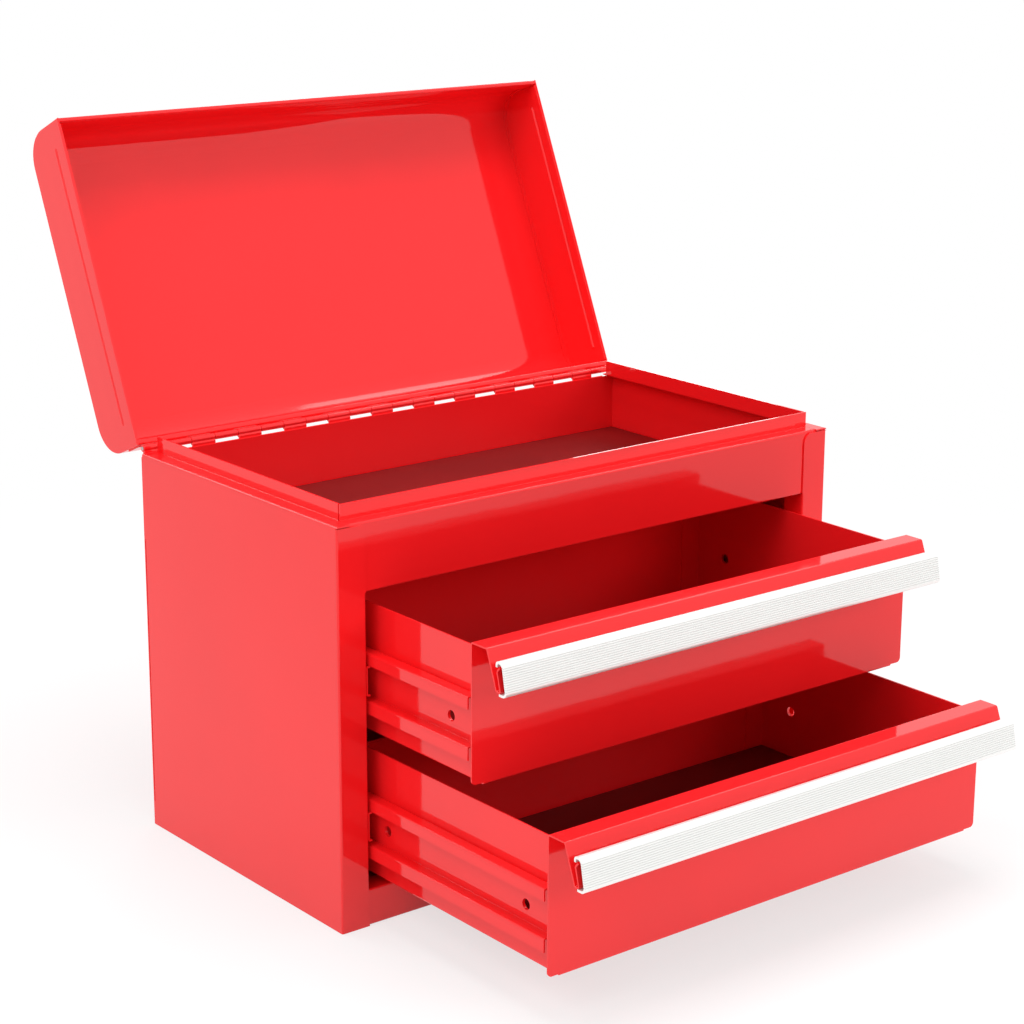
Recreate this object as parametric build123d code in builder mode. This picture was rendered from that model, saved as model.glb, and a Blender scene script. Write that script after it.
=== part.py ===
from build123d import *
import os
from math import cos, radians, sin

# A portable steel tool box: a folded sheet cabinet with two drawers, an open
# till above them and a lid on a full-width hinge. Millimetres. The origin is
# on the floor at the middle of the base, +Z is up and the drawers open to -Y.
# The lid stands open and both drawers are drawn out, as they are shown.

# ---------------------------------------------------------------- cabinet
sheet = 0.8
bend = 0.6
body_width = 330.0
body_depth = 180.6
body_height = 211.2
post_width = 16.7
post_return = 14.0
post_corner = 6.0
opening_bottom = 19.4
opening_top = 175.6
edge_return = 12.0
header_bend = 0.8
relief = 0.2

rim_height = 8.4
rim_inset_side = 7.9
rim_inset_front = 8.3
rim_rear_gap = 2.9
corner_slot = 0.9
post_seam = 0.5

weld_flange = 10.0
base_flange = 12.0
till_flange = 10.0
back_panel_top_gap = 1.5
rear_post_gap = 4.3
rear_post_depth = 14.0
rear_post_top = 164.0

mat_thickness = 1.2
mat_margin = 1.2

# ---------------------------------------------------------------- drawers
face_gap = 2.8
face_height = 72.2
lower_face_bottom = 22.4
drawer_pitch = 76.5
closed_recess = 13.5
upper_drawn_out = 80.2
lower_drawn_out = 137.3
drawer_length = 155.5
pan_height = 67.2
pan_bend = 1.0
pan_tab = 13.2
drawer_corner = 2.4
face_return = 9.0
face_return_inset = 7.2
face_ear_step = 1.1

lip_reach = 11.6
lip_run = 7.2
lip_drop = 19.6
lip_bend = 0.9
hook_width = 2.9
hook_lean = 2.6
hook_lean_drop = 9.2
hook_tip_reach = 1.9
hook_tip_drop = 7.3
hook_bend = 1.0
hook_curl = 1.6

pull_wall = 1.2
pull_end_gap = 0.2
pull_top_drop = 4.3
pull_bottom_drop = 21.0
pull_front_top = 23.0
pull_front_bottom = 26.0
pull_hook_back_top = 17.6
pull_hook_back_bottom = 20.0
pull_hook_length = 2.4
pull_top_bend = 2.9
pull_bottom_bend = 2.2
groove_count = 11
groove_pitch = 1.1
groove_radius = 0.32
groove_first_drop = 6.9

rail_depth = 5.7
rail_gap = 1.2
rail_upper = 45.0
rail_lower = 20.2
rail_upper_lip = 6.3
rail_lower_lip = 7.0
side_gap = 1.0
hole_radius = 2.8
hole_height = 28.7
front_hole = 22.0
rear_hole = 131.5

runner_bottom = 23.0
runner_flange = 6.4
slide_play = 0.2
runner_front_gap = 0.3
runner_nose_gap = 0.4

# ---------------------------------------------------------------- lid and hinge
lid_overhang = 0.0
lid_height = 37.8
lid_gap = 2.4
lid_front_radius = 17.0
lid_rear_radius = 18.3
lid_hem = 8.0
lid_hem_gap = 0.8
lid_rear_hem_gap = 1.6
lid_flange = 2.0
lid_fit = 0.1
end_hem = 6.0
lid_edge = 0.5
lid_angle = 113.6
bead_rise = 9.6
bead_front_gap = 14.3
bead_rear_gap = 12.8
bead_width = 2.0
bead_depth = 0.8
bead_slope = 40

hinge_end_gap = 1.2
knuckle_count = 22
knuckle_gap = 0.4
knuckle_radius = 1.9
pin_radius = 1.0
pin_clearance = 0.05
hinge_rise = 1.8
leaf_clearance = 0.3
leaf_height = 15.0
slot_clearance = 3.3
neck_clearance = 1.8

# ---------------------------------------------------------------- derived places
half_width = body_width / 2
front_plane = -body_depth / 2
rear_plane = body_depth / 2
rim_top = body_height + rim_height
inner_half_width = half_width - sheet
opening_half = half_width - post_width
inner_front = front_plane + sheet
outer_bend = bend + sheet / 2
till_floor_bottom = opening_top

hinge_y = rear_plane + sheet + leaf_clearance + knuckle_radius
hinge_z = body_height + hinge_rise
hinge_length = 2 * (inner_half_width - hinge_end_gap)
hinge_start = -hinge_length / 2
rear_post_y = rear_plane - rear_post_gap
knuckle_pitch = hinge_length / knuckle_count

face_half = opening_half - face_gap
lip_half = opening_half - sheet - side_gap
rail_web_half = lip_half - rail_depth
pan_half = rail_web_half - sheet


def fold(plane, corners, radii, length, thickness=sheet, both=False):
    """Adds a folded strip to the part. Its section follows the corners along its middle."""
    with BuildSketch(plane) as strip:
        with BuildLine():
            if len(corners) > 2:
                FilletPolyline(*corners, radius=radii)
            else:
                Polyline(*corners)
        trace(line_width=thickness)
    extrude(strip.sketch, amount=length, both=both)


def save(part, name):
    """Names a finished piece and writes it."""
    part.label = name
    export_step(part, f"parts/{name}.step")


def across(y_end):
    """The XZ plane at y_end. A strip drawn on it is extruded towards the front."""
    return Plane.XZ.offset(-y_end)


# ---------------------------------------------------------------- side panels
def make_side_panel(side, name):
    """Side wall with its front post, the post's return, the top flange and the rim."""
    wall = side * (half_width - sheet / 2)
    post_edge = side * (opening_half + sheet / 2)
    post_tip = side * opening_half
    middle = (front_plane + rear_plane) / 2
    front = front_plane + sheet / 2
    rear = rear_plane - sheet / 2
    return_end = front_plane + post_return
    flange_low = base_flange + 2 * sheet
    rim_x = side * (half_width - rim_inset_side - sheet / 2)
    top = body_height - sheet / 2
    wall_top = body_height - outer_bend
    with BuildPart() as panel:
        # front: the post turns in along the drawer opening and stays flat above and below it
        for low, high, tip in (
            (0, opening_bottom + relief, [(post_tip, front)]),
            (opening_bottom + relief, opening_top - relief, [(post_edge, front), (post_edge, return_end)]),
            (opening_top - relief, wall_top, [(post_tip, front)]),
        ):
            fold(Plane.XY.offset(low), [(wall, middle), (wall, front), *tip], bend, high - low)
        corner = panel.edges().filter_by(Axis.Y).sort_by_distance((post_tip, front, wall_top))[0]
        fillet(corner, radius=post_corner)
        # rear: a welding flange for the back panel, below the till
        for low, high, tip in (
            (0, flange_low, []),
            (flange_low, rear_post_top, [(wall, rear), (wall - side * weld_flange, rear)]),
            (rear_post_top, wall_top, []),
        ):
            corners = [(wall, middle), *tip] if tip else [(wall, middle), (wall, rear_plane)]
            fold(Plane.XY.offset(low), corners, bend, high - low)
        # top flange and rim
        fold(
            across(rear_plane),
            [(wall, wall_top - bend), (wall, top), (rim_x, top), (rim_x, rim_top)],
            bend,
            body_depth,
        )
        # in front of the corner slot only the flat flange runs on
        slot_end = front_plane + rim_inset_front + sheet + corner_slot
        with BuildSketch(across(slot_end)):
            with Locations((rim_x, rim_top)):
                Rectangle(2 * bend, 2 * (rim_height + outer_bend))
        extrude(amount=slot_end - front_plane, mode=Mode.SUBTRACT)
        # a thin seam parts the post's top edge from the flange
        with BuildSketch(across(front_plane + outer_bend)):
            with Locations((side * half_width, body_height - sheet - post_seam / 2)):
                Rectangle(2 * post_width, post_seam)
        extrude(amount=outer_bend, mode=Mode.SUBTRACT)
        with BuildSketch(across(rear_plane)):
            with Locations((rim_x, rim_top)):
                Rectangle(4 * outer_bend, 2 * rim_height)
        extrude(amount=rim_rear_gap, mode=Mode.SUBTRACT)
    save(panel.part, name)


# ---------------------------------------------------------------- fixed panels of the cabinet
def make_front_header():
    """Panel above the drawers: a return under it, the top bend, a flange and the front rim."""
    face = inner_front + sheet / 2
    rim_y = front_plane + rim_inset_front + sheet / 2
    top = body_height - sheet / 2
    foot = [(face + edge_return, opening_top + sheet / 2), (face, opening_top + sheet / 2)]
    with BuildPart() as header:
        fold(
            Plane.YZ,
            [*foot, (face, top), (rim_y, top), (rim_y, rim_top)],
            [bend, header_bend, bend],
            half_width - rim_inset_side,
            both=True,
        )
        # beside the rim the face runs on behind the posts, up to the side panels' flanges
        fold(
            Plane.YZ,
            [*foot, (face, top - header_bend)],
            bend,
            inner_half_width - outer_bend,
            both=True,
        )
    save(header.part, "front_header")


def make_base_panel():
    """Floor of the cabinet with the front rail and welding flanges at the sides and the rear."""
    face = inner_front + sheet / 2
    rear = rear_plane - sheet / 2
    floor = sheet / 2
    side_x = inner_half_width - sheet / 2
    with BuildPart() as base:
        fold(
            Plane.YZ,
            [
                (face + edge_return, opening_bottom - sheet / 2),
                (face, opening_bottom - sheet / 2),
                (face, floor),
                (face + edge_return, floor),
            ],
            bend,
            inner_half_width - outer_bend,
            both=True,
        )
        fold(
            Plane.YZ,
            [(face + 2 * bend, floor), (rear, floor), (rear, base_flange)],
            bend,
            inner_half_width - 2 * outer_bend,
            both=True,
        )
        for side in (-1, 1):
            fold(
                across(rear_plane - post_return),
                [(side * opening_half, floor), (side * side_x, floor), (side * side_x, base_flange)],
                bend,
                body_depth - 2 * post_return - sheet,
            )
    save(base.part, "base_panel")


def make_back_panel():
    """Flat back, welded on behind the side panels. Its top edge lies just under the hinge slots."""
    with BuildPart() as back:
        with BuildSketch(across(rear_plane + sheet)) as outline:
            with Locations((0, (body_height - back_panel_top_gap) / 2)):
                Rectangle(body_width, body_height - back_panel_top_gap)
            fillet(outline.vertices().group_by(Axis.Y)[-1], radius=2 * bend)
        extrude(amount=sheet)
    save(back.part, "back_panel")


def make_till_floor():
    """Floor of the till, level with the header's return and behind it, with flanges turned down."""
    floor = till_floor_bottom + sheet / 2
    rear = rear_plane - sheet / 2
    side_x = inner_half_width - sheet / 2
    front = inner_front + sheet / 2 + edge_return
    with BuildPart() as tray:
        for side in (-1, 1):
            fold(
                across(rear_plane - 2 * outer_bend),
                [
                    (side * opening_half, floor),
                    (side * side_x, floor),
                    (side * side_x, floor - till_flange),
                ],
                bend,
                body_depth - 2 * post_return,
            )
        fold(
            Plane.YZ,
            [(front, floor), (rear, floor), (rear, floor - till_flange)],
            bend,
            inner_half_width - 2 * outer_bend,
            both=True,
        )
    save(tray.part, "till_floor")


def make_till_mat():
    """Loose mat on the till's floor."""
    length = body_depth - 2 * sheet - 2 * mat_margin
    width = 2 * (inner_half_width - mat_margin)
    with BuildPart() as mat:
        with BuildSketch(Plane.XY.offset(till_floor_bottom + sheet)):
            with Locations((0, sheet)):
                RectangleRounded(width, length, mat_margin)
        extrude(amount=mat_thickness)
    save(mat.part, "till_mat")


def make_rear_post(side, name):
    """Upright channel that carries the rear ends of the runners."""
    wall = side * (inner_half_width - sheet / 2)
    inner = side * (opening_half + sheet / 2)
    with BuildPart() as post:
        fold(
            Plane.XY.offset(base_flange + 2 * sheet),
            [
                (wall, rear_post_y - rear_post_depth),
                (wall, rear_post_y - sheet / 2),
                (inner, rear_post_y - sheet / 2),
                (inner, rear_post_y - rear_post_depth),
            ],
            bend,
            rear_post_top - base_flange - 2 * sheet,
        )
    save(post.part, name)


def make_runner(side, face_bottom, name):
    """C-shaped runner. The lip of the drawer's rail slides on its upper flange."""
    web = side * (opening_half - sheet / 2)
    tip = side * (opening_half - runner_flange)
    low = face_bottom + runner_bottom + sheet / 2
    high = face_bottom + rail_upper - rail_upper_lip - slide_play - sheet / 2
    with BuildPart() as runner:
        fold(
            across(rear_post_y),
            [(tip, low), (web, low), (web, high), (tip, high)],
            bend,
            rear_post_y - front_plane - runner_front_gap,
        )
        # in front the flanges are cut short, so that the closed drawer's front passes between them
        nose_end = front_plane + closed_recess + 2 * sheet
        cut_end = side * (face_half + runner_nose_gap)
        with BuildSketch(across(nose_end)):
            with Locations(((tip - side * sheet + cut_end) / 2, (low + high) / 2)):
                Rectangle(abs(cut_end - tip) + sheet, high - low + 2 * sheet)
        extrude(amount=nose_end - front_plane, mode=Mode.SUBTRACT)
    save(runner.part, name)


# ---------------------------------------------------------------- drawers
def make_drawer(name, face_bottom, drawn_out):
    """One drawer: pan, back, front, two rails, pull and mat."""
    face = front_plane - drawn_out
    face_top = face_bottom + face_height
    pan_front = face + sheet
    pan_rear = face + drawer_length - sheet
    pan_floor = face_bottom + sheet
    pan_top = pan_floor + pan_height
    side_x = pan_half - sheet / 2
    hole_places = [(face + front_hole, face_bottom + hole_height), (face + rear_hole, face_bottom + hole_height)]

    with BuildPart() as pan:
        fold(
            across(pan_rear),
            [
                (-side_x, pan_top),
                (-side_x, pan_floor + sheet / 2),
                (side_x, pan_floor + sheet / 2),
                (side_x, pan_top),
            ],
            pan_bend,
            pan_rear - pan_front,
        )
        # the sides' ends turn in behind the front and over the back
        for side in (-1, 1):
            for end, inward in ((pan_front + sheet / 2, 1), (pan_rear - sheet / 2, -1)):
                fold(
                    Plane.XY.offset(pan_floor + pan_bend + sheet),
                    [
                        (side * side_x, end + inward * pan_tab),
                        (side * side_x, end),
                        (side * (side_x - pan_tab), end),
                    ],
                    bend,
                    pan_height - pan_bend - 2 * sheet,
                )
        # the floor's front edge stays clear of the bend at the foot of the front
        with BuildSketch(Plane.YZ):
            with Locations((pan_front, pan_floor)):
                Rectangle(2 * bend, 2 * bend)
            with Locations(*hole_places):
                Circle(hole_radius)
        extrude(amount=body_width, both=True, mode=Mode.SUBTRACT)
    save(pan.part, f"{name}_pan")

    with BuildPart() as back:
        with BuildSketch(across(pan_rear + sheet)) as outline:
            with Locations((0, (pan_floor + pan_top) / 2)):
                Rectangle(2 * pan_half, pan_height)
            fillet(outline.vertices(), radius=pan_bend)
        extrude(amount=sheet)
    save(back.part, f"{name}_back")

    with BuildPart() as front:
        mid = face + sheet / 2
        top = face_top - sheet / 2
        hook_y = face - lip_reach - lip_run - hook_width + sheet / 2
        hook_bottom = face_top - lip_drop + sheet / 2
        fold(
            Plane.YZ,
            [
                (mid, face_bottom + face_ear_step),
                (mid, top),
                (face - lip_reach + sheet / 2, top),
                (face - lip_reach - lip_run + sheet / 2, hook_bottom),
                (hook_y, hook_bottom),
                (hook_y + hook_lean, face_top - hook_lean_drop),
                (hook_y + hook_lean - hook_tip_reach, face_top - hook_tip_drop),
            ],
            [lip_bend, lip_bend, hook_bend, hook_bend, hook_curl],
            face_half,
            both=True,
        )
        fold(
            Plane.YZ,
            [
                (face + face_return, face_bottom + sheet / 2),
                (mid, face_bottom + sheet / 2),
                (mid, face_bottom + 3 * outer_bend),
            ],
            bend,
            face_half - face_return_inset,
            both=True,
        )
        for side in (-1, 1):
            place = (side * face_half, mid, face_bottom + face_ear_step)
            fillet(front.edges().filter_by(Axis.Y).sort_by_distance(place)[0], radius=drawer_corner)
    save(front.part, f"{name}_front")

    for side, hand in ((-1, "left"), (1, "right")):
        web = side * (rail_web_half - sheet / 2)
        lip = side * (lip_half - sheet / 2)
        upper = face_bottom + rail_upper - sheet / 2
        lower = face_bottom + rail_lower - sheet / 2
        with BuildPart() as rail:
            fold(
                across(pan_rear),
                [
                    (lip, face_bottom + rail_upper - rail_upper_lip),
                    (lip, upper),
                    (web, upper),
                    (web, lower),
                    (lip, lower),
                    (lip, face_bottom + rail_lower - rail_lower_lip),
                ],
                bend,
                pan_rear - pan_front - rail_gap,
            )
            with BuildSketch(Plane.YZ):
                with Locations(*hole_places):
                    Circle(hole_radius)
            extrude(amount=side * body_width, mode=Mode.SUBTRACT)
        save(rail.part, f"{name}_rail_{hand}")

    with BuildPart() as pull:
        half_wall = pull_wall / 2
        top = face_top - pull_top_drop - half_wall
        bottom = face_top - pull_bottom_drop + half_wall
        front_top = face - pull_front_top + half_wall
        front_bottom = face - pull_front_bottom + half_wall
        back_top = face - pull_hook_back_top - half_wall
        fold(
            Plane.YZ,
            [
                (back_top, top - pull_hook_length),
                (back_top, top),
                (front_top, top),
                (front_bottom, bottom),
                (face - pull_hook_back_bottom, bottom),
            ],
            [pull_wall, pull_top_bend, pull_bottom_bend],
            face_half - pull_end_gap,
            thickness=pull_wall,
            both=True,
        )
        # fine grooves run the length of the grip
        slope = (pull_front_bottom - pull_front_top) / (pull_bottom_drop - pull_top_drop - pull_wall)
        lean = (1 + slope**2) ** 0.5
        with BuildSketch(Plane.YZ):
            for index in range(groove_count):
                drop = groove_first_drop + index * groove_pitch
                reach = pull_front_top + slope * (drop - pull_top_drop - half_wall) + half_wall * (lean - 1)
                with Locations((face - reach - groove_radius / 3, face_top - drop)):
                    Circle(groove_radius)
        extrude(amount=face_half, both=True, mode=Mode.SUBTRACT)
    save(pull.part, f"{name}_pull")

    with BuildPart() as mat:
        mat_length = pan_rear - pan_front - 2 * sheet - 2 * mat_margin
        mat_width = 2 * (pan_half - sheet - pan_bend)
        with BuildSketch(Plane.XY.offset(pan_floor + sheet)):
            with Locations((0, (pan_front + pan_rear) / 2)):
                RectangleRounded(mat_width, mat_length, mat_margin)
        extrude(amount=mat_thickness)
    save(mat.part, f"{name}_mat")


# ---------------------------------------------------------------- lid
# The lid is drawn closed, as places from the hinge's axis, on a plane turned open.
open_turn = radians(lid_angle)
lid_back_dir = (0, cos(open_turn), -sin(open_turn))
lid_plane = Plane(origin=(0, hinge_y, hinge_z), x_dir=lid_back_dir, z_dir=(1, 0, 0))

lid_low = body_height + lid_gap - hinge_z
lid_high = lid_low + lid_height
lid_front = front_plane - lid_overhang - hinge_y
lid_rear = rear_plane + sheet - hinge_y


def lid_outline(inset, bottom):
    """Face of the lid's closed end, smaller all round than the lid by the inset, cut at the bottom."""
    front = lid_front + inset
    rear = lid_rear - inset
    high = lid_high - inset
    front_radius = lid_front_radius - inset
    rear_radius = lid_rear_radius - inset
    with BuildSketch(Plane.XY) as outline:
        with BuildLine():
            Line((front, bottom), (front, high - front_radius))
            RadiusArc((front, high - front_radius), (front + front_radius, high), front_radius)
            Line((front + front_radius, high), (rear - rear_radius, high))
            RadiusArc((rear - rear_radius, high), (rear, high - rear_radius), rear_radius)
            Line((rear, high - rear_radius), (rear, bottom))
            Line((rear, bottom), (front, bottom))
        make_face()
    return outline.sketch


def make_lid_shell():
    """Front skirt, top and rear skirt in one bent sheet, with a hem folded inwards at both edges."""
    half = sheet / 2
    front = lid_front + half
    rear = lid_rear - half
    low = lid_low + half
    high = lid_high - half
    front_reach = sheet + lid_hem_gap
    rear_reach = sheet + lid_rear_hem_gap
    with BuildPart() as shell:
        fold(
            lid_plane,
            [
                (front + front_reach, low + lid_hem),
                (front + front_reach, low),
                (front, low),
                (front, high),
                (rear, high),
                (rear, low),
                (rear - rear_reach, low),
                (rear - rear_reach, low + lid_hem),
            ],
            [bend, bend, lid_front_radius - half, lid_rear_radius - half, bend, bend],
            inner_half_width,
            both=True,
        )
    save(shell.part, "lid_shell")


def make_lid_end(side, name):
    """Flat end with a flange inside the shell and a straight pressed bead."""
    outer_plane = lid_plane.offset(side * half_width)
    inner_plane = lid_plane.offset(side * inner_half_width)
    hem_front = lid_front + 3 * sheet + lid_hem_gap
    hem_rear = lid_rear - 3 * sheet - lid_rear_hem_gap
    bead_front = lid_front + bead_front_gap
    bead_rear = lid_rear - bead_rear_gap
    bead_place = ((bead_front + bead_rear) / 2, lid_low + bead_rise)
    slope = radians(bead_slope)
    bead_widening = 2 * sheet * (1 - sin(slope)) / cos(slope)
    with BuildPart() as end:
        with BuildSketch(outer_plane):
            add(lid_outline(0, lid_low))
        extrude(amount=-side * sheet)
        outer_rim = end.faces().sort_by(Axis.X)[0 if side < 0 else -1].edges()
        fillet(outer_rim, radius=lid_edge)
        # flange inside the shell, above the hems
        with BuildSketch(inner_plane):
            add(lid_outline(sheet + lid_fit, lid_low + lid_hem + 3 * sheet))
            add(lid_outline(2 * sheet + lid_fit, lid_low), mode=Mode.SUBTRACT)
        extrude(amount=-side * lid_flange)
        # the bottom edge is folded flat inwards
        with BuildSketch(inner_plane):
            with Locations(((hem_front + hem_rear) / 2, lid_low + (lid_edge + end_hem) / 2)):
                Rectangle(hem_rear - hem_front, end_hem - lid_edge)
        extrude(amount=-side * sheet)
        # bead: pressed inwards with sloping sides, so a ridge stands on the inner face
        with BuildSketch(inner_plane):
            with Locations(bead_place):
                SlotOverall(bead_rear - bead_front + bead_widening, bead_width + bead_widening)
        extrude(amount=-side * bead_depth, taper=bead_slope)
        with BuildSketch(outer_plane):
            with Locations(bead_place):
                SlotOverall(bead_rear - bead_front, bead_width)
        extrude(amount=-side * bead_depth, taper=bead_slope, mode=Mode.SUBTRACT)
    save(end.part, name)


# ---------------------------------------------------------------- hinge
def leaf_profile(up):
    """Section of a rolled knuckle with its leaf, from the hinge's axis. The leaf points up or down."""
    inner = -knuckle_radius - leaf_clearance
    outer = inner + sheet
    near = up * neck_clearance
    far = up * leaf_height
    with BuildSketch(Plane.XY) as profile:
        Circle(knuckle_radius)
        with BuildLine():
            Polyline(
                (inner, far),
                (inner, near),
                (inner + sheet / 2, near / 2),
                (0, near / 2),
                (0, up * knuckle_radius),
                (outer, up * (knuckle_radius + sheet + relief)),
                (outer, far),
                close=True,
            )
        make_face()
        Circle(pin_radius + pin_clearance, mode=Mode.SUBTRACT)
    return profile.sketch


def make_leaf(plane, up, first, name):
    """Hinge leaf: a plate along the whole hinge and every second knuckle from the first."""
    inner = -knuckle_radius - leaf_clearance
    plate = (up * slot_clearance, up * leaf_height)
    section = leaf_profile(up)
    with BuildPart() as leaf:
        with BuildSketch(plane.offset(hinge_start)):
            with Locations((inner + sheet / 2, sum(plate) / 2)):
                Rectangle(sheet, leaf_height - slot_clearance)
        extrude(amount=hinge_length)
        for index in range(first, knuckle_count, 2):
            start = hinge_start + index * knuckle_pitch + knuckle_gap / 2
            with BuildSketch(plane.offset(start)):
                add(section)
            extrude(amount=knuckle_pitch - knuckle_gap)
    save(leaf.part, name)


def make_hinge_pin():
    """Straight pin through all the knuckles."""
    with BuildPart() as pin:
        with BuildSketch(Plane.YZ.offset(hinge_start)):
            with Locations((hinge_y, hinge_z)):
                Circle(pin_radius)
        extrude(amount=hinge_length)
    save(pin.part, "hinge_pin")


# ---------------------------------------------------------------- build
os.makedirs("parts", exist_ok=True)

drawers = (
    ("upper_drawer", lower_face_bottom + drawer_pitch, upper_drawn_out),
    ("lower_drawer", lower_face_bottom, lower_drawn_out),
)

for side, hand in ((-1, "left"), (1, "right")):
    make_side_panel(side, f"side_panel_{hand}")
    make_rear_post(side, f"rear_post_{hand}")
    make_lid_end(side, f"lid_end_{hand}")
    for drawer, face_bottom, _ in drawers:
        make_runner(side, face_bottom, drawer.replace("drawer", f"runner_{hand}"))

make_front_header()
make_base_panel()
make_back_panel()
make_till_floor()
make_till_mat()

for drawer, face_bottom, drawn_out in drawers:
    make_drawer(drawer, face_bottom, drawn_out)

make_lid_shell()
hinge_plane = Plane(origin=(0, hinge_y, hinge_z), x_dir=(0, 1, 0), z_dir=(1, 0, 0))
make_leaf(hinge_plane, -1, 0, "hinge_leaf_body")
make_leaf(lid_plane, 1, 1, "hinge_leaf_lid")
make_hinge_pin()
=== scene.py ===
"""Looks of a small red tool box: gloss enamel, grooved pulls, liners and the studio round it."""
import math
from collections import namedtuple

import bmesh
import bpy
from bpy.props import FloatProperty, FloatVectorProperty, IntProperty, PointerProperty
from mathutils import Matrix, Vector

bl_info = {
    "name": "Red Tool Box Looks",
    "version": (1, 0, 0),
    "blender": (4, 5, 0),
    "location": "View3D > Sidebar > Tool Box",
    "description": "Finishes the sheet-steel tool box and sets up its studio",
    "category": "Object",
}

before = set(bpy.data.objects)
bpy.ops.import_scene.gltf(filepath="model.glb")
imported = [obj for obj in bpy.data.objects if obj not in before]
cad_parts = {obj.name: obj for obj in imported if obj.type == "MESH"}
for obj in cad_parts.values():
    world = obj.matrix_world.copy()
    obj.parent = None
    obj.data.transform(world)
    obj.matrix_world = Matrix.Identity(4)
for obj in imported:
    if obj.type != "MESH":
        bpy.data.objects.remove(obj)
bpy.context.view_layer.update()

LINER_NODES = [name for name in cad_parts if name.endswith("_mat")]
PULL_NODES = [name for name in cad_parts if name.endswith("_pull")]
PIN_NODES = ["hinge_pin"]
ENAMEL_NODES = [
    name
    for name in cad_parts
    if name not in LINER_NODES + PULL_NODES + PIN_NODES
]

# enamel: share of its colour that the tone drifts by, scales of its noises, heights of its waves
ENAMEL_DARK = 0.96
ENAMEL_PALE = 1.08
DRIFT_START = 0.35
DRIFT_END = 0.65
DRIFT_SCALE = 9.0
HAZE_SCALE = 60.0
PEEL_SCALE = 420.0
PEEL_HEIGHT = 0.0004
SAG_SCALE = 26.0
SAG_HEIGHT = 0.004

# pulls: drawn lines that are long along X, and the soft edge of a groove's shade
DRAWN_SCALE = 900.0
DRAWN_STRETCH = (0.012, 1.0, 1.0)
SHADE_CORE = 0.3
SHADE_REACH = 0.7
PULL_METALLIC = 0.5

# liners
PATCH_SCALE = 30.0
GRAIN_SCALE = 900.0
GRAIN_STRENGTH = 0.15
GRAIN_HEIGHT = 0.0003
LINER_DARK = 0.8
LINER_PALE = 1.3
LINER_ROUGHNESS = 0.45

# hinge pin
STREAK_SCALE = 700.0
STREAK_STRETCH = (1.0, 0.05, 0.05)
STEEL_DARK = (0.42, 0.41, 0.40)
STEEL_PALE = (0.62, 0.61, 0.60)
STEEL_ROUGHNESS = 0.3

# floor: the part of it near the tool box keeps the shadow, and further out it is plain white
FLOOR_COLOUR = (0.86, 0.86, 0.86)
FLOOR_ROUGHNESS = 0.9
FLOOR_SPECULAR = 0.1
FLOOR_HALF_WIDTH = 20.0
FLOOR_DROP = 0.0002
NEAR_WHITE = 0.68
FADE_START = 0.35
FADE_END = 0.8

# world: how strongly it lights things, and how bright it is where it is seen
WHITE = (1, 1, 1, 1)
SOFT_LIGHT = 0.47
SEEN_LIGHT = 1.0

SENSOR_WIDTH = 36.0
NEAREST = 0.01
FURTHEST = 100.0

Lamp = namedtuple("Lamp", "name place target width height watts reflected")
LAMPS = (
    Lamp("left_card", (-1.15, -0.35, 1.2), (0, 0, 0.12), 0.9, 0.9, 8.5, False),
    Lamp("front_card", (0.9, -1.6, 0.8), (0, 0, 0.15), 0.9, 0.7, 9, False),
    Lamp("top_card", (0.0, -0.1, 1.7), (0, 0, 0), 1.0, 1.0, 17.5, False),
    # a pale patch on the right half of the drawers' lips
    Lamp("rear_card", (1.03, 1.31, 0.68), (0, 0, 0.2), 0.7, 0.6, 5, True),
    # thin lines on the bends
    Lamp("rear_edge_card", (-0.61, 1.17, 0.91), (0, 0, 0.2), 0.4, 0.4, 2, True),
    Lamp("front_edge_card", (0.91, 0.06, 1.31), (0, 0, 0.2), 0.4, 0.4, 1.6, True),
)


# ---------------------------------------------------------------- settings
class EnamelSettings(bpy.types.PropertyGroup):
    """The red enamel on all the folded sheet."""

    colour: FloatVectorProperty(
        name="Enamel colour",
        description="Colour of the enamel where it is clean and even",
        subtype="COLOR",
        size=3,
        min=0.0,
        max=1.0,
        default=(0.93, 0.012, 0.015),
    )
    gloss_roughness: FloatProperty(
        name="Gloss roughness",
        description="Roughness of the enamel's surface, low for a sharp reflection",
        min=0.0,
        max=1.0,
        default=0.06,
    )
    orange_peel: FloatProperty(
        name="Orange peel",
        description="Strength of the fine waviness that sprayed enamel dries with",
        min=0.0,
        max=1.0,
        default=0.02,
    )


class PullSettings(bpy.types.PropertyGroup):
    """The drawn aluminium pulls."""

    colour: FloatVectorProperty(
        name="Aluminium colour",
        description="Colour of the anodised aluminium",
        subtype="COLOR",
        size=3,
        min=0.0,
        max=1.0,
        default=(0.93, 0.93, 0.91),
    )
    roughness: FloatProperty(
        name="Aluminium roughness",
        description="Roughness of the anodised surface",
        min=0.0,
        max=1.0,
        default=0.34,
    )
    groove_count: IntProperty(
        name="Groove count",
        description="How many grooves run along a pull",
        min=1,
        default=11,
    )
    groove_pitch: FloatProperty(
        name="Groove pitch",
        description="Distance from one groove to the next",
        unit="LENGTH",
        min=0.0001,
        default=0.0011,
    )
    lowest_groove: FloatProperty(
        name="Lowest groove",
        description="Height of the lowest groove above the pull's lower edge",
        unit="LENGTH",
        min=0.0,
        default=0.0031,
    )
    groove_width: FloatProperty(
        name="Groove width",
        description="Width of the shaded line in a groove, as a share of the pitch",
        min=0.0,
        max=1.0,
        default=0.34,
    )
    groove_shade: FloatProperty(
        name="Groove shade",
        description="Brightness at the bottom of a groove, as a share of the open surface",
        min=0.0,
        max=1.0,
        default=0.78,
    )


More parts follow.
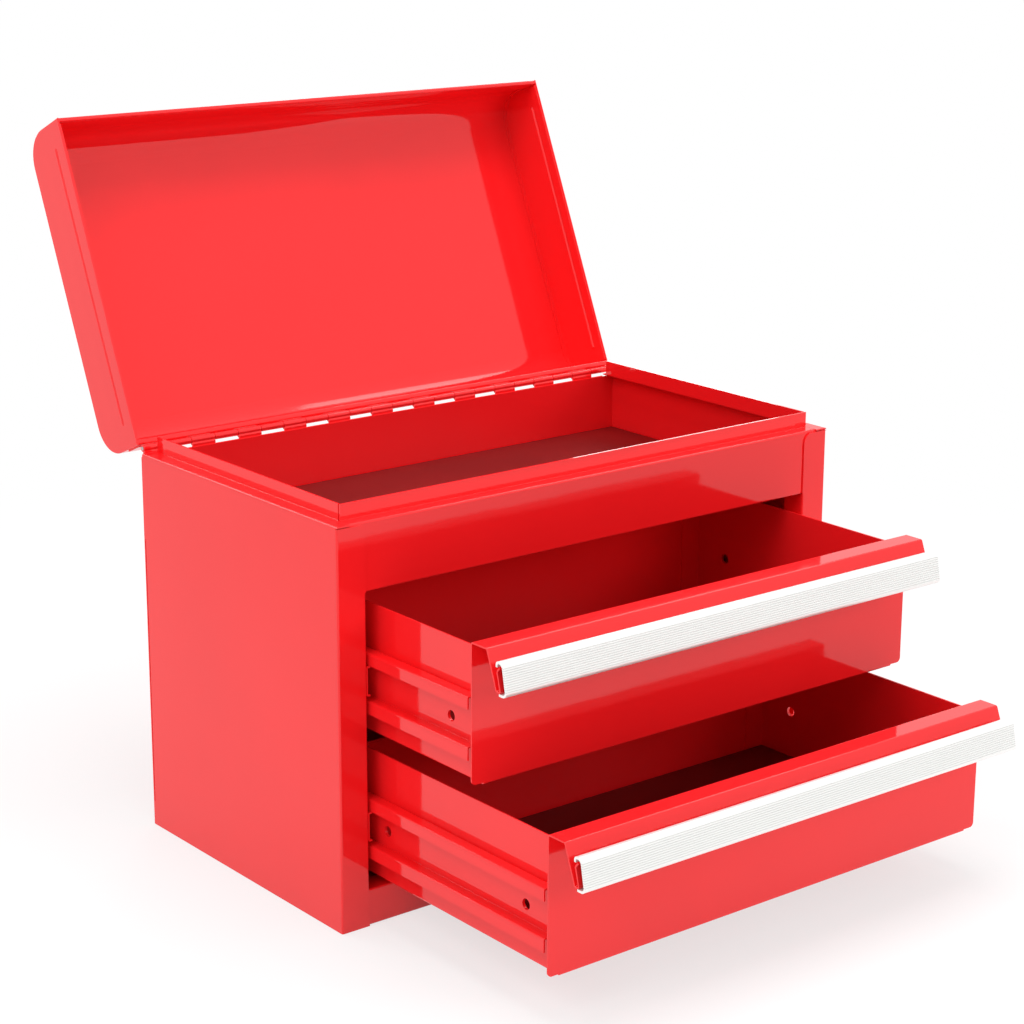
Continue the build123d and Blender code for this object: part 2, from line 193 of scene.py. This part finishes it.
class LinerSettings(bpy.types.PropertyGroup):
    """The dark liners in the till and the drawers."""

    colour: FloatVectorProperty(
        name="Liner colour",
        description="Colour of the liner sheet",
        subtype="COLOR",
        size=3,
        min=0.0,
        max=1.0,
        default=(0.14, 0.004, 0.004),
    )


class StudioSettings(bpy.types.PropertyGroup):
    """The camera of the studio."""

    lens: FloatProperty(
        name="Lens",
        description="Focal length on a 36 mm wide sensor, in millimetres",
        min=10.0,
        max=300.0,
        default=88.30,
    )
    yaw: FloatProperty(
        name="Camera yaw",
        description="Turn of the view about the vertical",
        subtype="ANGLE",
        default=math.radians(-38.619),
    )
    pitch: FloatProperty(
        name="Camera pitch",
        description="How far the view looks down",
        subtype="ANGLE",
        default=math.radians(15.626),
    )
    roll: FloatProperty(
        name="Camera roll",
        description="Turn of the picture about the line of sight",
        subtype="ANGLE",
        default=math.radians(0.2416),
    )
    place: FloatVectorProperty(
        name="Camera place",
        description="Where the camera stands",
        subtype="TRANSLATION",
        unit="LENGTH",
        size=3,
        default=(-0.81714, -1.04059, 0.54084),
    )


# ---------------------------------------------------------------- node helpers
def new_material(name):
    """Gives a fresh node material and its node tree with only the output and a Principled shader."""
    material = bpy.data.materials.new(name)
    material.use_nodes = True
    tree = material.node_tree
    tree.nodes.clear()
    output = tree.nodes.new("ShaderNodeOutputMaterial")
    output.location = (500, 0)
    shader = tree.nodes.new("ShaderNodeBsdfPrincipled")
    shader.location = (200, 0)
    tree.links.new(shader.outputs["BSDF"], output.inputs["Surface"])
    return material, tree, shader


def object_noise(tree, scale, detail, roughness=0.5, stretch=(1.0, 1.0, 1.0)):
    """Noise on Object coordinates, so that it stays where it is on the piece. Gives its output socket."""
    coords = tree.nodes.new("ShaderNodeTexCoord")
    mapping = tree.nodes.new("ShaderNodeMapping")
    mapping.inputs["Scale"].default_value = stretch
    noise = tree.nodes.new("ShaderNodeTexNoise")
    noise.inputs["Scale"].default_value = scale
    noise.inputs["Detail"].default_value = detail
    noise.inputs["Roughness"].default_value = roughness
    tree.links.new(coords.outputs["Object"], mapping.inputs["Vector"])
    tree.links.new(mapping.outputs["Vector"], noise.inputs["Vector"])
    return noise.outputs["Fac"]


def bump(tree, height, strength, distance):
    """A bump node fed by a height socket."""
    node = tree.nodes.new("ShaderNodeBump")
    node.inputs["Strength"].default_value = strength
    node.inputs["Distance"].default_value = distance
    tree.links.new(height, node.inputs["Height"])
    return node


def math_node(tree, operation, *values):
    """A math node fed by sockets or plain values. Gives its output socket."""
    node = tree.nodes.new("ShaderNodeMath")
    node.operation = operation
    for socket, value in zip(node.inputs, values):
        if isinstance(value, bpy.types.NodeSocket):
            tree.links.new(value, socket)
        else:
            socket.default_value = value
    return node.outputs["Value"]


def map_range(tree, value, to_range, from_range=(0.0, 1.0), smooth=False):
    """A map range node fed by a socket. Gives its output socket."""
    node = tree.nodes.new("ShaderNodeMapRange")
    if smooth:
        node.interpolation_type = "SMOOTHSTEP"
    node.inputs["From Min"].default_value, node.inputs["From Max"].default_value = from_range
    node.inputs["To Min"].default_value, node.inputs["To Max"].default_value = to_range
    tree.links.new(value, node.inputs["Value"])
    return node.outputs["Result"]


def tone_ramp(tree, value, dark, pale, start=0.0, end=1.0):
    """A ramp from the dark to the pale colour, fed by a socket. Gives its output socket."""
    node = tree.nodes.new("ShaderNodeValToRGB")
    for element, position, colour in zip(node.color_ramp.elements, (start, end), (dark, pale)):
        element.position = position
        element.color = (*colour, 1)
    tree.links.new(value, node.inputs["Fac"])
    return node.outputs["Color"]


def scaled(colour, share):
    """The colour with each part times share."""
    return tuple(part * share for part in colour)


def seen_rays(tree):
    """Socket that is 1 for rays from the camera, from reflections and through glass, otherwise 0."""
    path = tree.nodes.new("ShaderNodeLightPath")
    direct = math_node(tree, "MAXIMUM", path.outputs["Is Camera Ray"], path.outputs["Is Glossy Ray"])
    return math_node(tree, "MAXIMUM", direct, path.outputs["Is Transmission Ray"])


# ---------------------------------------------------------------- materials
def enamel_material(settings):
    """Sprayed red gloss enamel with a faint drift of tone, uneven gloss and orange peel."""
    material, tree, shader = new_material("red_enamel_gloss")
    red, green, blue = settings.colour
    tone = tone_ramp(
        tree,
        object_noise(tree, DRIFT_SCALE, 3.0),
        (red * ENAMEL_DARK, green, blue),
        (red, green * ENAMEL_PALE, blue * ENAMEL_PALE),
        DRIFT_START,
        DRIFT_END,
    )
    tree.links.new(tone, shader.inputs["Base Color"])
    haze = object_noise(tree, HAZE_SCALE, 2.0)
    gloss = map_range(tree, haze, (settings.gloss_roughness * 0.8, settings.gloss_roughness * 1.3))
    tree.links.new(gloss, shader.inputs["Roughness"])
    peel = bump(tree, object_noise(tree, PEEL_SCALE, 2.0), settings.orange_peel, PEEL_HEIGHT)
    sag = bump(tree, object_noise(tree, SAG_SCALE, 1.0), settings.orange_peel, SAG_HEIGHT)
    tree.links.new(sag.outputs["Normal"], peel.inputs["Normal"])
    tree.links.new(peel.outputs["Normal"], shader.inputs["Normal"])
    return material


def groove_lines(tree, settings):
    """Socket that is 1 along the bottom of each groove of a pull and 0 between them."""
    coords = tree.nodes.new("ShaderNodeTexCoord")
    axes = tree.nodes.new("ShaderNodeSeparateXYZ")
    tree.links.new(coords.outputs["Generated"], axes.inputs["Vector"])
    pull_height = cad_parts[PULL_NODES[0]].dimensions.z
    rise = math_node(tree, "MULTIPLY", axes.outputs["Z"], pull_height)
    above_lowest = math_node(tree, "SUBTRACT", rise, settings.lowest_groove)
    count = math_node(tree, "DIVIDE", above_lowest, settings.groove_pitch)
    # distance from the nearest whole number, in pitches
    part = math_node(tree, "FRACT", math_node(tree, "ADD", count, 0.5))
    aside = math_node(tree, "ABSOLUTE", math_node(tree, "SUBTRACT", part, 0.5))
    edge = (settings.groove_width * SHADE_CORE, settings.groove_width * SHADE_REACH)
    line = map_range(tree, aside, (1.0, 0.0), edge)
    middle = (settings.groove_count - 1) / 2
    grooved = math_node(tree, "COMPARE", count, middle, middle + 0.5)
    return math_node(tree, "MULTIPLY", line, grooved)


def pull_material(settings):
    """Drawn and anodised aluminium with fine lines along its length and a little shade in the grooves."""
    material, tree, shader = new_material("pull_aluminium_drawn")
    drawn = object_noise(tree, DRAWN_SCALE, 2.0, 0.6, DRAWN_STRETCH)
    rough = map_range(tree, drawn, (settings.roughness * 0.85, settings.roughness * 1.2))
    tree.links.new(rough, shader.inputs["Roughness"])
    tone = tree.nodes.new("ShaderNodeMix")
    tone.data_type = "RGBA"
    tone.inputs["A"].default_value = (*settings.colour, 1)
    tone.inputs["B"].default_value = (*scaled(settings.colour, settings.groove_shade), 1)
    tree.links.new(groove_lines(tree, settings), tone.inputs["Factor"])
    tree.links.new(tone.outputs["Result"], shader.inputs["Base Color"])
    shader.inputs["Metallic"].default_value = PULL_METALLIC
    return material


def liner_material(settings):
    """Dark liner sheet with a fine leathery grain."""
    material, tree, shader = new_material("liner_dark_grain")
    dark = scaled(settings.colour, LINER_DARK)
    pale = scaled(settings.colour, LINER_PALE)
    tone = tone_ramp(tree, object_noise(tree, PATCH_SCALE, 4.0), dark, pale)
    tree.links.new(tone, shader.inputs["Base Color"])
    relief = bump(tree, object_noise(tree, GRAIN_SCALE, 3.0), GRAIN_STRENGTH, GRAIN_HEIGHT)
    tree.links.new(relief.outputs["Normal"], shader.inputs["Normal"])
    shader.inputs["Roughness"].default_value = LINER_ROUGHNESS
    return material


def steel_material():
    """Bare ground steel of the hinge's pin."""
    material, tree, shader = new_material("hinge_pin_steel")
    streak = object_noise(tree, STREAK_SCALE, 2.0, 0.5, STREAK_STRETCH)
    tone = tone_ramp(tree, streak, STEEL_DARK, STEEL_PALE)
    tree.links.new(tone, shader.inputs["Base Color"])
    shader.inputs["Metallic"].default_value = 1.0
    shader.inputs["Roughness"].default_value = STEEL_ROUGHNESS
    return material


def floor_material():
    """Matt white that keeps the shadow near the tool box and fades to plain white further out."""
    material, tree, shader = new_material("studio_floor_white")
    shader.inputs["Base Color"].default_value = (*FLOOR_COLOUR, 1)
    shader.inputs["Roughness"].default_value = FLOOR_ROUGHNESS
    shader.inputs["Specular IOR Level"].default_value = FLOOR_SPECULAR
    coords = tree.nodes.new("ShaderNodeTexCoord")
    reach = tree.nodes.new("ShaderNodeVectorMath")
    reach.operation = "LENGTH"
    tree.links.new(coords.outputs["Object"], reach.inputs[0])
    fade = map_range(tree, reach.outputs["Value"], (NEAR_WHITE, 1.0), (FADE_START, FADE_END), smooth=True)
    share = math_node(tree, "MULTIPLY", fade, seen_rays(tree))
    white = tree.nodes.new("ShaderNodeEmission")
    mix = tree.nodes.new("ShaderNodeMixShader")
    tree.links.new(share, mix.inputs["Fac"])
    tree.links.new(shader.outputs["BSDF"], mix.inputs[1])
    tree.links.new(white.outputs["Emission"], mix.inputs[2])
    output = tree.nodes["Material Output"]
    tree.links.new(mix.outputs["Shader"], output.inputs["Surface"])
    return material


def dress(node_names, material):
    """Assigns the material to every slot of the CAD nodes."""
    for name in node_names:
        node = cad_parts[name]
        if not node.material_slots:
            node.data.materials.append(material)
        for slot in node.material_slots:
            slot.link = "OBJECT"
            slot.material = material


# ---------------------------------------------------------------- operators
class TOOLBOX_OT_enamel(bpy.types.Operator):
    """Paint the cabinet, the lid, the drawers and the hinge's leaves"""

    bl_idname = "toolbox.enamel"
    bl_label = "Enamel"

    def execute(self, context):
        dress(ENAMEL_NODES, enamel_material(context.scene.toolbox_enamel))
        return {"FINISHED"}


class TOOLBOX_OT_pulls(bpy.types.Operator):
    """Finish both drawer pulls in drawn aluminium"""

    bl_idname = "toolbox.pulls"
    bl_label = "Drawer Pulls"

    def execute(self, context):
        dress(PULL_NODES, pull_material(context.scene.toolbox_pulls))
        return {"FINISHED"}


class TOOLBOX_OT_liners(bpy.types.Operator):
    """Finish the liners in the till and the drawers"""

    bl_idname = "toolbox.liners"
    bl_label = "Liners"

    def execute(self, context):
        dress(LINER_NODES, liner_material(context.scene.toolbox_liners))
        return {"FINISHED"}


class TOOLBOX_OT_hinge_pin(bpy.types.Operator):
    """Finish the hinge's pin"""

    bl_idname = "toolbox.hinge_pin"
    bl_label = "Hinge Pin"

    def execute(self, context):
        dress(PIN_NODES, steel_material())
        return {"FINISHED"}


class TOOLBOX_OT_stage(bpy.types.Operator):
    """Set up the floor, the world, the lamps and the camera"""

    bl_idname = "toolbox.stage"
    bl_label = "Studio"

    def execute(self, context):
        scene = context.scene
        self.make_floor(scene)
        self.make_world(scene)
        for lamp in LAMPS:
            self.make_lamp(scene, lamp)
        self.make_camera(scene, scene.toolbox_studio)
        scene.view_settings.view_transform = "Standard"
        return {"FINISHED"}

    def make_floor(self, scene):
        """A wide white floor that keeps the soft shadow."""
        mesh = bpy.data.meshes.new("studio_floor")
        shape = bmesh.new()
        bmesh.ops.create_grid(shape, x_segments=1, y_segments=1, size=FLOOR_HALF_WIDTH)
        shape.to_mesh(mesh)
        shape.free()
        floor = bpy.data.objects.new("studio_floor", mesh)
        floor.location = (0, 0, -FLOOR_DROP)
        scene.collection.objects.link(floor)
        mesh.materials.append(floor_material())

    def make_world(self, scene):
        """Soft even light from all round, white where it is seen."""
        world = bpy.data.worlds.new("studio_world")
        scene.world = world
        world.use_nodes = True
        tree = world.node_tree
        tree.nodes.clear()
        output = tree.nodes.new("ShaderNodeOutputWorld")
        mix = tree.nodes.new("ShaderNodeMixShader")
        tree.links.new(seen_rays(tree), mix.inputs["Fac"])
        for place, strength in ((1, SOFT_LIGHT), (2, SEEN_LIGHT)):
            light = tree.nodes.new("ShaderNodeBackground")
            light.inputs["Color"].default_value = WHITE
            light.inputs["Strength"].default_value = strength
            tree.links.new(light.outputs["Background"], mix.inputs[place])
        tree.links.new(mix.outputs["Shader"], output.inputs["Surface"])

    def make_lamp(self, scene, lamp):
        """A white rectangular lamp, out of the camera's sight."""
        data = bpy.data.lights.new(lamp.name, "AREA")
        data.shape = "RECTANGLE"
        data.size = lamp.width
        data.size_y = lamp.height
        data.energy = lamp.watts
        card = bpy.data.objects.new(lamp.name, data)
        card.location = lamp.place
        beam = Vector(lamp.target) - Vector(lamp.place)
        card.rotation_euler = beam.to_track_quat("-Z", "Y").to_euler()
        card.visible_glossy = lamp.reflected
        card.visible_camera = False
        scene.collection.objects.link(card)

    def make_camera(self, scene, settings):
        """The photograph's point of view."""
        data = bpy.data.cameras.new("studio_camera")
        data.lens = settings.lens
        data.sensor_width = SENSOR_WIDTH
        data.sensor_fit = "HORIZONTAL"
        data.clip_start = NEAREST
        data.clip_end = FURTHEST
        camera = bpy.data.objects.new("studio_camera", data)
        yaw = settings.yaw
        pitch = settings.pitch
        level = math.cos(pitch)
        back = Vector((math.sin(yaw) * level, -math.cos(yaw) * level, math.sin(pitch)))
        right = (-back).cross(Vector((0, 0, 1))).normalized()
        up = right.cross(-back)
        turn_c = math.cos(settings.roll)
        turn_s = math.sin(settings.roll)
        right_rolled = right * turn_c + up * turn_s
        up_rolled = up * turn_c - right * turn_s
        basis = Matrix((right_rolled, up_rolled, back)).transposed().to_4x4()
        camera.matrix_world = Matrix.Translation(Vector(settings.place)) @ basis
        scene.collection.objects.link(camera)
        scene.camera = camera


class TOOLBOX_PT_panel(bpy.types.Panel):
    """Lists the pieces of the tool box and their settings"""

    bl_idname = "TOOLBOX_PT_panel"
    bl_label = "Tool Box"
    bl_space_type = "VIEW_3D"
    bl_region_type = "UI"
    bl_category = "Tool Box"

    def draw(self, context):
        layout = self.layout
        for settings, operator in (
            (context.scene.toolbox_enamel, TOOLBOX_OT_enamel),
            (context.scene.toolbox_pulls, TOOLBOX_OT_pulls),
            (context.scene.toolbox_liners, TOOLBOX_OT_liners),
            (None, TOOLBOX_OT_hinge_pin),
            (context.scene.toolbox_studio, TOOLBOX_OT_stage),
        ):
            box = layout.box()
            if settings is not None:
                for name in settings.__annotations__:
                    box.prop(settings, name)
            box.operator(operator.bl_idname)


CLASSES = (
    EnamelSettings,
    PullSettings,
    LinerSettings,
    StudioSettings,
    TOOLBOX_OT_enamel,
    TOOLBOX_OT_pulls,
    TOOLBOX_OT_liners,
    TOOLBOX_OT_hinge_pin,
    TOOLBOX_OT_stage,
    TOOLBOX_PT_panel,
)


def register():
    for cls in CLASSES:
        bpy.utils.register_class(cls)
    bpy.types.Scene.toolbox_enamel = PointerProperty(type=EnamelSettings)
    bpy.types.Scene.toolbox_pulls = PointerProperty(type=PullSettings)
    bpy.types.Scene.toolbox_liners = PointerProperty(type=LinerSettings)
    bpy.types.Scene.toolbox_studio = PointerProperty(type=StudioSettings)


def unregister():
    del bpy.types.Scene.toolbox_studio
    del bpy.types.Scene.toolbox_liners
    del bpy.types.Scene.toolbox_pulls
    del bpy.types.Scene.toolbox_enamel
    for cls in reversed(CLASSES):
        bpy.utils.unregister_class(cls)


def main():
    register()
    bpy.ops.toolbox.stage()
    bpy.ops.toolbox.enamel()
    bpy.ops.toolbox.pulls()
    bpy.ops.toolbox.liners()
    bpy.ops.toolbox.hinge_pin()


if __name__ == "__main__":
    main()
